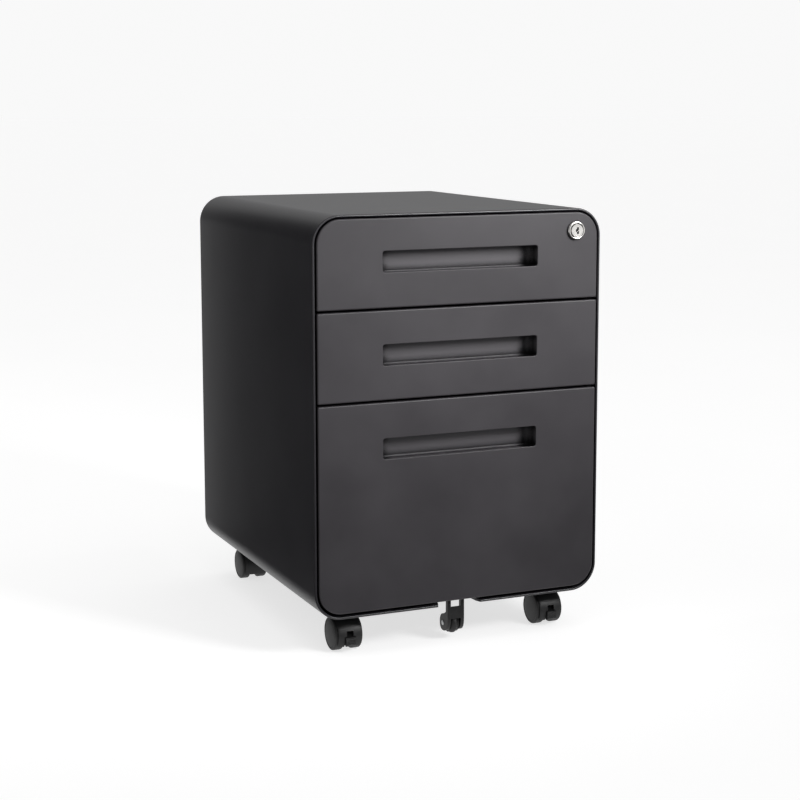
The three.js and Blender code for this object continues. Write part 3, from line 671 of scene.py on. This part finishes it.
for drawer in DRAWERS:
    low, high = box_mm(f"{drawer}_drawer_box")
    body = f"{drawer}_drawer"
    inner_bend = arc(TRAY_BEND, TRAY_BEND, TRAY_BEND - TRAY_SHEET, -90, -180, 3)
    path = [(inset, low.z + z) for inset, z in inner_bend]
    if drawer == "file":
        path += [(TRAY_SHEET, high.z - 0.3), (0.7, high.z), (0.3, high.z), (0, high.z - 0.3)]
    else:
        path += [(TRAY_SHEET, high.z - 7.2), (1.6, high.z - 7.4), (2 * ROLL, high.z - 6.4)]
        path += [(inset, high.z + z) for inset, z in arc(ROLL, -ROLL, ROLL, 0, 180, 8)]
    path += [(inset, low.z + z) for inset, z in arc(TRAY_BEND, TRAY_BEND, TRAY_BEND, 180, 270, 4)]
    finished(f"{drawer}_tray", skin([tray_ring(drawer, inset, z) for inset, z in path]),
             inner_coat, body, [f"{drawer}_drawer_box"])
    # The catch is a small steel tongue with a slanted nose, riveted through one hole.
    near, far, base = bar_back + 1.5, bar_back + 6.5, CATCH_Z[drawer]
    tongue = [(-low.x, near), (high.x - 2, near), (high.x, near + 1.6), (high.x, far - 0.8),
              (high.x - 0.8, far), (-low.x, far)]
    eye = turned([(0, base - 1), (1.1, base - 1), (1.1, base + 7), (0, base + 7)],
                 segments=16, at=(-low.x + 2.4, (near + far) / 2, 0))
    catch = carved(extruded(tongue, "Z", base, base + 6), eye)
    finished(f"{drawer}_catch", catch, zinc, body, edge=0.5)
    holes = [(x, low.y + TRAY_SHEET, low.z + 9) for x in (-140, -60, 60, 140)]
    finished(f"{drawer}_front_screws", screws(holes, (0, 1, 0)), zinc, body)

for side in ("left", "right"):
    low, high = box_mm(f"{side}_hanging_rail")
    channel = bent_strip([(low.x + 0.5, low.z), (low.x + 0.5, high.z - 0.5),
                          (high.x - 0.5, high.z - 0.5), (high.x - 0.5, low.z)], 1.0, 0.5)
    finished(f"{side}_folder_rail", extruded(channel, "Y", low.y, high.y), zinc, "file_drawer",
             [f"{side}_hanging_rail"])
print("trays, catches and folder rails in place")

# %% [markdown]
# ## Ball slides
# A full-extension slide is three channels of rolled steel, nested and running on balls. The
# outer one is fixed to the side frame and curls over at its edges to hold the balls, the
# middle one travels half way, and the inner one is screwed to the drawer. Each channel is drawn
# as a bent strip and extruded. The balls sit in two cages. In truth a cage moves half as far as
# the member inside it. Here it stays with the outer of its two members, at the front end,
# where it is covered by both at every position.

# %% Slide members
GAUGE = 1.2
slide_face = box_mm("top_right_slide_outer")[1].x
SECTIONS = {
    "outer": [(8.9, 17.0), (8.9, 19.4), (0.6, 19.4), (0.6, -19.4), (8.9, -19.4), (8.9, -17.0)],
    "middle": [(10.2, 13.8), (3.0, 13.8), (3.0, -13.8), (10.2, -13.8)],
    "inner": [(5.5, 8.2), (12.1, 8.2), (12.1, -8.2), (5.5, -8.2)],
}
CARRIED_BY = {"outer": "cabinet", "middle": "{}_slides", "inner": "{}_drawer"}


def slide_points(points, side, z):
    """From distances inwards of the side frame to places in the cabinet."""
    return [(side * (slide_face - inwards), z + up) for inwards, up in points]


for drawer in DRAWERS:
    for side_name, side in (("left", -1), ("right", 1)):
        for member, section in SECTIONS.items():
            cad_name = f"{drawer}_{side_name}_slide_{member}"
            low, high = box_mm(cad_name)
            outline = slide_points(bent_strip(section, GAUGE, 0.9), side, (low.z + high.z) / 2)
            finished(f"{drawer}_{side_name}_{member}_member",
                     extruded(outline, "Y", low.y, high.y), zinc,
                     CARRIED_BY[member].format(drawer), [cad_name])
print("slide members:", len(DRAWERS) * 2 * len(SECTIONS))

# %% Balls, cages and slide screws
BALL_R = 2.0
PITCH = 9
BALLS = 8
CAGES = {
    "outer": {"points": [(7.6, 16.6), (1.8, 16.6), (1.8, -16.6), (7.6, -16.6)],
              "ball": (5.6, 16.6), "start": 7, "body": "cabinet"},
    "inner": {"points": [(9.8, 11.0), (4.5, 11.0), (4.5, -11.0), (9.8, -11.0)],
              "ball": (7.7, 11.0), "start": 82, "body": "{}_slides"},
}
ball = turned([(BALL_R * math.sin(math.radians(t)), -BALL_R * math.cos(math.radians(t)))
               for t in range(0, 181, 20)], segments=14)
for drawer in DRAWERS:
    for side_name, side in (("left", -1), ("right", 1)):
        low, high = box_mm(f"{drawer}_{side_name}_slide_outer")
        z = (low.z + high.z) / 2
        for cage, made in CAGES.items():
            start = low.y + made["start"]
            strip = slide_points(bent_strip(made["points"], 0.5, 0.8), side, z)
            parts = [extruded(strip, "Y", start, start + PITCH * BALLS)]
            for i in range(BALLS):
                for up in (-1, 1):
                    (x, z_ball), = slide_points([(made["ball"][0], up * made["ball"][1])], side, z)
                    spot = Matrix.Translation((x, start + PITCH * (i + 0.5), z_ball))
                    parts.append(moved(ball.copy(), spot))
            finished(f"{drawer}_{side_name}_{cage}_cage", gathered(parts), zinc,
                     made["body"].format(drawer))
        inner_web = side * (slide_face - 11.5)
        heads = [(inner_web, low.y + at, z) for at in (20, 130, 250, 360)]
        finished(f"{drawer}_{side_name}_slide_screws", screws(heads, (side, 0, 0)), zinc,
                 f"{drawer}_drawer")
ball.free()
print("cages with", 2 * BALLS, "balls each")

# %% [markdown]
# ## Frames, beams and the lock's linkage
# The side frames, the base beams, the cam and the lock bar already have the right shape in the
# CAD model: flat stampings with folded edges. They keep it, get a plated or painted finish,
# and a modifier rounds their edges as deburring does.

# %% Carried-over stampings
def dressed(node_name, material, edge):
    """Gives a CAD node its finish and rounds its edges without moving or rebuilding it."""
    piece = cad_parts[node_name]
    piece.data.materials.clear()
    piece.data.materials.append(material)
    round_edges(piece, edge)
    weighted = piece.modifiers.new("flat faces stay flat", "WEIGHTED_NORMAL")
    weighted.keep_sharp = True


for node_name in ("left_side_frame", "right_side_frame", "front_base_beam", "rear_base_beam"):
    dressed(node_name, inner_coat, 0.3)
dressed("lock_bar", zinc, 0.25)
dressed("lock_cam", cam_steel, 0.25)
print("stampings dressed")

# %% [markdown]
# ## The lock
# A cam lock has a housing with a stepped bezel, clamped by a nut behind the front, and a plug
# that the key turns. Both are lathe work, so both are turned profiles. The bezel's steps and
# the groove round the plug are what make its rings of light and dark. The keyhole is a zig-zag,
# made of three offset slots, because the key's blade has grooves along both sides.

# %% Lock
def at_lock(mesh):
    return moved(mesh, Matrix.Translation((lock_x, 0, lock_z)))


bezel = [(6.8, lock_high.y), (9.5, lock_high.y), (9.5, face_y - 0.3), (11.6, face_y - 0.3),
         (11.8, face_y - 0.5), (11.8, lock_y + 2.3), (11.7, lock_y + 2.0), (11.4, lock_y + 1.85),
         (11.2, lock_y + 1.7), (11.0, lock_y + 1.0), (10.8, lock_y + 0.7), (10.4, lock_y + 0.6),
         (9.8, lock_y + 0.6), (9.5, lock_y + 0.75), (9.3, lock_y + 1.1), (9.3, lock_y + 3.6),
         (6.8, lock_y + 3.6)]
finished("lock_bezel", at_lock(turned(bezel, "Y", 72)), chrome, "top_drawer",
         ["lock_housing"])

plug_end = box_mm("lock_plug")[1].y
cam_y = box_mm("lock_cam")[0].y
plug = [(0, lock_y + 0.12), (6.3, lock_y + 0.12), (6.6, lock_y), (8.0, lock_y),
        (8.3, lock_y + 0.2), (8.5, lock_y + 0.7), (8.8, lock_y + 3.0), (6.5, lock_y + 3.3),
        (6.5, cam_y - 0.3), (3.0, cam_y - 0.3), (3.0, plug_end - 0.3), (2.7, plug_end),
        (0, plug_end)]
KEY_SLOTS = ((-0.5, 2.1, 0.6, 4.2), (-2.1, 1.0, -1.5, 1.8), (-0.5, 2.1, -4.2, -0.6))
keyway = [block(x0, x1, lock_y - 1, lock_y + 14, z0, z1) for x0, x1, z0, z1 in KEY_SLOTS]
plug_piece = finished("lock_plug_turned", at_lock(carved(turned(plug, "Y", 72), *keyway)),
                      chrome, "lock_plug", ["lock_plug"], edge=0.1)
# Faces inside the keyway take the near-black painted shade.
plug_piece.data.materials.append(keyway_painted_shade)
for face in plug_piece.data.polygons:
    spot = face.center / MM - Vector((lock_x, lock_y, lock_z))
    in_keyway = abs(spot.x) < 2.3 and abs(spot.z) < 4.6 and spot.y > 0.2
    if in_keyway:
        face.material_index = 1

nut_low, nut_high = box_mm("lock_nut")
hexagon = arc(0, 0, nut_high.x - lock_x, 0, 300, 5)
nut = carved(extruded(hexagon, "Y", nut_low.y, nut_high.y),
             turned([(0, nut_low.y - 1), (9.8, nut_low.y - 1), (9.8, nut_high.y + 1),
                     (0, nut_high.y + 1)], "Y", 32))
finished("lock_clamp_nut", at_lock(nut), zinc, "top_drawer", ["lock_nut"], edge=0.4)
print("lock made")

# %% [markdown]
# ## Casters
# A twin-wheel caster is a nylon hood on a steel stem, with a wheel on each side and, at the
# front of the cabinet, a foot brake. The hood is one moulding: a fender over both treads, a web
# between the wheels and a boss round the stem. Its fender is a crowned section swept round the
# axle, and the web, the boss and the cap are fused on before the openings are cut. Everything
# is made once, at the origin with the stem upright, and placed four times.

# %% Caster mouldings
TRAIL = 16
WHEEL_R = 21
CROWN_Z = box_mm("front_left_caster_hood")[1].z


def fender():
    """A crowned strip swept over the wheels."""
    top = [(x, 24.2 - 0.9 * (x / 15.3) ** 2) for x in range(-14, 15, 2)]
    outline = [(-15.3, 22.7), (-15.1, 23.1)] + top
    outline += [(15.1, 23.1), (15.3, 22.7), (15.1, 22.3), (14.7, 22.2), (-14.7, 22.2),
                (-15.1, 22.3)]
    angles = [math.radians(-30 + 242 * i / 44) for i in range(45)]
    return skin([[(x, r * math.cos(t) - TRAIL, r * math.sin(t) + WHEEL_R) for x, r in outline]
                 for t in angles])


def hood(brake):
    """The hood, with an opening in front for the lever if the caster has a brake."""
    web = arc(-TRAIL, WHEEL_R, 22.8, -30, 212, 40) + arc(-TRAIL, WHEEL_R, 15, 212, -30, 1)
    boss = [(0, 20), (6, 20), (6, 42.4), (12.0, 43.4), (12.8, 43.7), (13, 44.1), (13, 45.6),
            (12.8, 46.1), (12.2, CROWN_Z), (0, CROWN_Z)]
    axle = [(0, -16.8), (2.4, -16.8), (2.8, -16.4), (2.8, 16.4), (2.4, 16.8), (0, 16.8)]
    bore = [(0, 22), (3.8, 22), (3.8, CROWN_Z - 0.6), (4.4, CROWN_Z + 1), (0, CROWN_Z + 1)]
    made = carved(fender(), extruded(web, "X", -6, 6), turned(boss),
                  turned(axle, "X", 24, (0, -TRAIL, WHEEL_R)), how="UNION")
    made = carved(made, turned(bore, segments=24))
    if not brake:
        return made
    pocket = [(-45, 5), (-23, 5), (-23, 28.5), (-45, 28.5)]
    mouth = [(-45, 5), (-34, 5), (-35, 12), (-37.6, 21.8), (-45, 21.8)]
    made = carved(made, extruded(pocket, "X", -4.4, 4.4), extruded(mouth, "X", -7, 7))
    pivot = [(0, -5.2), (1.3, -5.2), (1.3, 5.2), (0, 5.2)]
    return gathered([made, turned(pivot, "X", 16, (0, -27.5, 24))])


def wheel(side):
    """One wheel: a domed outer face, a ridge near the rim, and a recess inside."""
    profile = [(0, 17.6), (3.1, 17.6), (3.1, 6.8), (7.6, 6.8), (8.0, 7.2), (8.3, 8.6), (16.4, 8.6),
               (16.8, 7.2), (17.3, 6.8), (20.1, 6.8), (20.7, 7.1), (21, 7.8), (21, 16.2),
               (20.85, 16.9), (20.4, 17.5), (19.7, 17.95), (18.9, 18.2), (18.2, 18.25),
               (17.9, 18.1), (17.7, 17.8), (17.4, 17.75), (17.1, 17.95), (16.4, 18.15),
               (14, 18.5), (11, 18.75), (7, 18.93), (3, 19), (0, 19)]
    return turned([(r, side * t) for r, t in profile], "X", 72, (0, -TRAIL, WHEEL_R))


def brake_lever():
    """An arm on the pivot and a ribbed pad for the toe."""
    arm = [(-40, 10), (-35.5, 9.5), (-25, 20), (-24.3, 24), (-26, 27), (-29, 27), (-40, 20.5)]
    pad = [(-43, 11.5), (-41, 9.5), (-38.7, 9.5), (-38.7, 20.8), (-41.2, 20.8), (-43, 19)]
    grooves = [block(-4.6, 4.6, -44, -42.4, z, z + 0.9) for z in (12.8, 14.8, 16.8)]
    solid = carved(extruded(arm, "X", -4, 4), extruded(pad, "X", -6.5, 6.5), how="UNION")
    hole = turned([(0, -6), (1.7, -6), (1.7, 6), (0, 6)], "X", 16, (0, -27.5, 24))
    return carved(solid, hole, *grooves)


def stem():
    """The steel stem, with a grooved neck and a thread run-out above its flange."""
    base = shell_low.z - 0.3
    pin = [(0, 24.3), (3.0, 24.3), (3.5, 24.9), (3.5, base - 4.2), (4.6, base - 3.9),
           (4.6, base - 0.5), (5.0, base), (5.0, 61.5), (4.6, 62.3), (4.0, 63.0), (3.6, 63.5),
           (0, 63.5)]
    return turned(pin, segments=32)


def stem_flange():
    """The hexagon on the stem that a spanner turns."""
    base = shell_low.z - 0.3
    blank = extruded(arc(0, 0, 8.4, 30, 330, 5), "Z", base - 3.6, base)
    return carved(blank, turned([(0, base - 5), (4.7, base - 5), (4.7, base + 1), (0, base + 1)]))


# %% Four casters
hoods = {True: hood(True), False: hood(False)}
wheels = {"a": wheel(-1), "b": wheel(1)}
lever = brake_lever()
for corner in ("front_left", "front_right", "rear_left", "rear_right"):
    low, high = box_mm(f"{corner}_caster_stem")
    front = corner.startswith("front")
    turn = Matrix.Rotation(0 if front else math.pi, 4, "Z")
    at = Matrix.Translation(((low.x + high.x) / 2, (low.y + high.y) / 2, 0)) @ turn
    finished(f"{corner}_stem", moved(gathered([stem(), stem_flange()]), at), zinc, "cabinet",
             [f"{corner}_caster_stem"], edge=0.3)
    finished(f"{corner}_hood", moved(hoods[front].copy(), at), hood_nylon, f"{corner}_caster",
             [f"{corner}_caster_hood"], edge=0.35)
    for which, made in wheels.items():
        finished(f"{corner}_wheel_{which}_turned", moved(made.copy(), at), wheel_nylon,
                 f"{corner}_wheel_{which}", [f"{corner}_wheel_{which}"])
    if front:
        finished(f"{corner}_foot_brake", moved(lever.copy(), at), hood_nylon,
                 f"{corner}_brake_lever", [f"{corner}_brake_lever"], edge=0.6)
print("casters made: 4")

# %% [markdown]
# ## The fifth wheel
# A loaded file drawer could tip the cabinet forwards when it is pulled out, so a small wheel
# rides under its front, just above the floor. Its fork is moulded with two thin legs that
# widen into a boss round the axle, a plate across them and a flange screwed to the drawer.

# %% Fork and wheel
fork_low, fork_high = box_mm("fifth_wheel_fork")
wheel_low, wheel_high = box_mm("fifth_wheel")
axle_y = (wheel_low.y + wheel_high.y) / 2
axle_z = (wheel_low.z + wheel_high.z) / 2
fifth_r = (wheel_high.z - wheel_low.z) / 2


def curve(start, pull, end, steps=10):
    """A quadratic curve from start to end, pulled towards a third point."""
    start, pull, end = Vector(start), Vector(pull), Vector(end)
    return [tuple(start * (1 - t) ** 2 + pull * 2 * t * (1 - t) + end * t * t)
            for t in (i / steps for i in range(steps + 1))]


boss = axle_z - fork_low.z
neck = fork_low.y + 6
leg = [(fork_low.y, fork_high.z)]
leg += curve((fork_low.y, axle_z + 7), (fork_low.y, fork_low.z), (axle_y, fork_low.z))
leg += curve((axle_y, fork_low.z), (fork_high.y, fork_low.z), (fork_high.y, axle_z))[1:]
leg += curve((fork_high.y, axle_z), (fork_high.y, axle_z + boss), (axle_y, axle_z + boss + 2))[1:]
leg += curve((axle_y, axle_z + boss + 2), (neck, axle_z + boss + 3), (neck, axle_z + 18))[1:]
leg += [(neck, fork_high.z)]
legs = [extruded(leg, "X", x, x + 4.5) for x in (-11.5, 7)]
plate = block(-11.5, 11.5, fork_low.y, fork_low.y + 2.2, 29.8, 45.6)
flange = block(fork_low.x, fork_high.x, fork_low.y, fork_high.y, fork_high.z - 1.6, fork_high.z)
rivet = [(0, -12.2), (2.6, -12.2), (3.4, -11.8), (3.4, -11.4), (2.2, -11.4), (2.2, 11.4),
         (3.4, 11.4), (3.4, 11.8), (2.6, 12.2), (0, 12.2)]
fork = carved(legs[0], legs[1], plate, flange, how="UNION")
finished("fifth_fork", fork, hood_nylon, "file_drawer",
         ["fifth_wheel_fork"], edge=0.7)
finished("fifth_rivet", turned(rivet, "X", 28, (0, axle_y, axle_z)), zinc, "file_drawer")
tyre = [(2.5, -6), (2.5, 6), (9.6, 6), (10.0, 5.4), (11.4, 5.4), (11.8, 5.9), (12.4, 5.6)]
tyre += [(fifth_r - 4.6 + 4.6 * math.cos(math.radians(t)), 5.2 * math.sin(math.radians(t)))
         for t in range(60, -61, -15)]
tyre += [(12.4, -5.6), (11.8, -5.9), (11.4, -5.4), (10.0, -5.4), (9.6, -6)]
finished("fifth_wheel_turned", turned(tyre, "X", 64, (0, axle_y, axle_z)), wheel_nylon,
         "fifth_wheel", ["fifth_wheel"])
screw_head.free()
print("fifth wheel made")

# %% [markdown]
# ## Floor, light and camera
# Dark satin paint shows what it reflects more than its own colour. The floor and the room are
# pale and soft, so the top, which is seen at a flat angle, mirrors them and looks grey. A small
# gridded softbox in front, to the right, lights the upper drawer more than the lower, and a
# broad one overhead fills the rest. The left side and the fronts would mirror the pale room
# and floor, so black cards stand and lie around them, as in a studio. The cards only show in
# reflections.

# %% Floor and black cards
def stage_sheet(name, corners, material):
    """One flat sheet that belongs to the stage and not to the cabinet. Corners in metres."""
    mesh = bmesh.new()
    mesh.faces.new([mesh.verts.new(corner) for corner in corners])
    data = bpy.data.meshes.new(name)
    mesh.to_mesh(data)
    mesh.free()
    data.materials.append(material)
    sheet = bpy.data.objects.new(name, data)
    bpy.context.collection.objects.link(sheet)
    return sheet


def matt(name, colour, other, size, glow=0.0):
    """A plain matt surface, very slightly uneven. glow lights it like a light table."""
    material, tree = new_material(name)
    place = node(tree, "TexCoord", {}).outputs["Object"]
    uneven = node(tree, "TexNoise", {"Vector": place, "Scale": per_mm(size), "Detail": 3.0})
    tone = node(tree, "Mix", {MIX_FACTOR: uneven.outputs[0], MIX_A: linear(colour),
                              MIX_B: linear(other)}, data_type="RGBA")
    shader = node(tree, "BsdfPrincipled", {
        "Base Color": tone.outputs[MIX_RESULT], "Roughness": 0.9, "Specular IOR Level": 0.2,
        "Emission Color": linear("#ffffff"), "Emission Strength": glow})
    node(tree, "OutputMaterial", {"Surface": shader.outputs[0]})
    return material


floor_paint = matt("matt_white_floor", "#bdbdbd", "#b9b9b9", 400, glow=0.68)
black_card = matt("black_card", "#050505", "#080808", 200)
stage_sheet("floor", [(-60, -60, 0), (60, -60, 0), (60, 60, 0), (-60, 60, 0)], floor_paint)
side_card = stage_sheet("side_card", [(-0.25, 0.42, 0.004), (-3, 0.42, 0.004), (-3, 0.42, 1.6),
                                      (-0.25, 0.42, 1.6)], black_card)
left_card = stage_sheet("left_card", [(-2.5, -0.6, 0.004), (-0.23, -0.6, 0.004),
                                      (-0.23, 0.42, 0.004), (-2.5, 0.42, 0.004)], black_card)
front_card = stage_sheet("front_card", [(-1.5, -2.4, 0.005), (2.5, -2.4, 0.005),
                                        (2.5, -0.28, 0.005), (-1.5, -0.28, 0.005)], black_card)
for card in (side_card, left_card, front_card):
    card.visible_camera = False
    card.visible_diffuse = False
    card.visible_shadow = False

# %% Light
world = bpy.data.worlds.new("pale_room")
bpy.context.scene.world = world
world.use_nodes = True
world.node_tree.nodes.clear()
room = node(world.node_tree, "Background", {"Color": linear("#ffffff"), "Strength": 0.5})
backdrop = node(world.node_tree, "Background", {"Color": linear("#ffffff"), "Strength": 0.945})
seen = node(world.node_tree, "LightPath", {}).outputs["Is Camera Ray"]
either = node(world.node_tree, "MixShader", {0: seen, 1: room.outputs[0], 2: backdrop.outputs[0]})
node(world.node_tree, "OutputWorld", {"Surface": either.outputs[0]})


def softbox(name, at, toward, size, power, spread=180):
    """A square lamp that looks at a point. A small spread stands for a honeycomb grid."""
    lamp = bpy.data.lights.new(name, "AREA")
    lamp.shape, lamp.size, lamp.energy = "SQUARE", size, power
    lamp.spread = math.radians(spread)
    made = bpy.data.objects.new(name, lamp)
    made.location = at
    made.rotation_euler = (Vector(toward) - Vector(at)).to_track_quat("-Z", "Y").to_euler()
    made.visible_camera = False
    bpy.context.collection.objects.link(made)
    return made


softbox("front_softbox", (0.6, -1.15, 0.95), (0.02, -0.22, 0.50), 0.5, 2.6, 50)
softbox("top_softbox", (0.0, -0.2, 3.2), (0, 0, 0), 3.0, 17)
bpy.context.scene.view_settings.view_transform = "Standard"

# %% [markdown]
# ## Camera
# A long lens far away keeps the cabinet's edges nearly parallel, as a catalogue does. The
# camera stands a little above the top, to the left of the front.

# %% Camera
CAMERA_AT = (-920.4, -2157.2, 684.8)
YAW, PITCH, ROLL = -23.423, -8.267, -0.077
lens = bpy.data.cameras.new("camera")
lens.lens = 78.82
lens.sensor_width = 36
lens.shift_y = -0.06
lens.clip_end = 60
camera = bpy.data.objects.new("camera", lens)
turns = [Matrix.Rotation(math.radians(angle), 4, axis)
         for angle, axis in ((YAW, "Z"), (90 + PITCH, "X"), (ROLL, "Z"))]
stand = Matrix.Translation([value * MM for value in CAMERA_AT])
camera.matrix_world = stand @ turns[0] @ turns[1] @ turns[2]
bpy.context.collection.objects.link(camera)
bpy.context.scene.camera = camera
print("camera", [round(value * MM, 3) for value in CAMERA_AT])
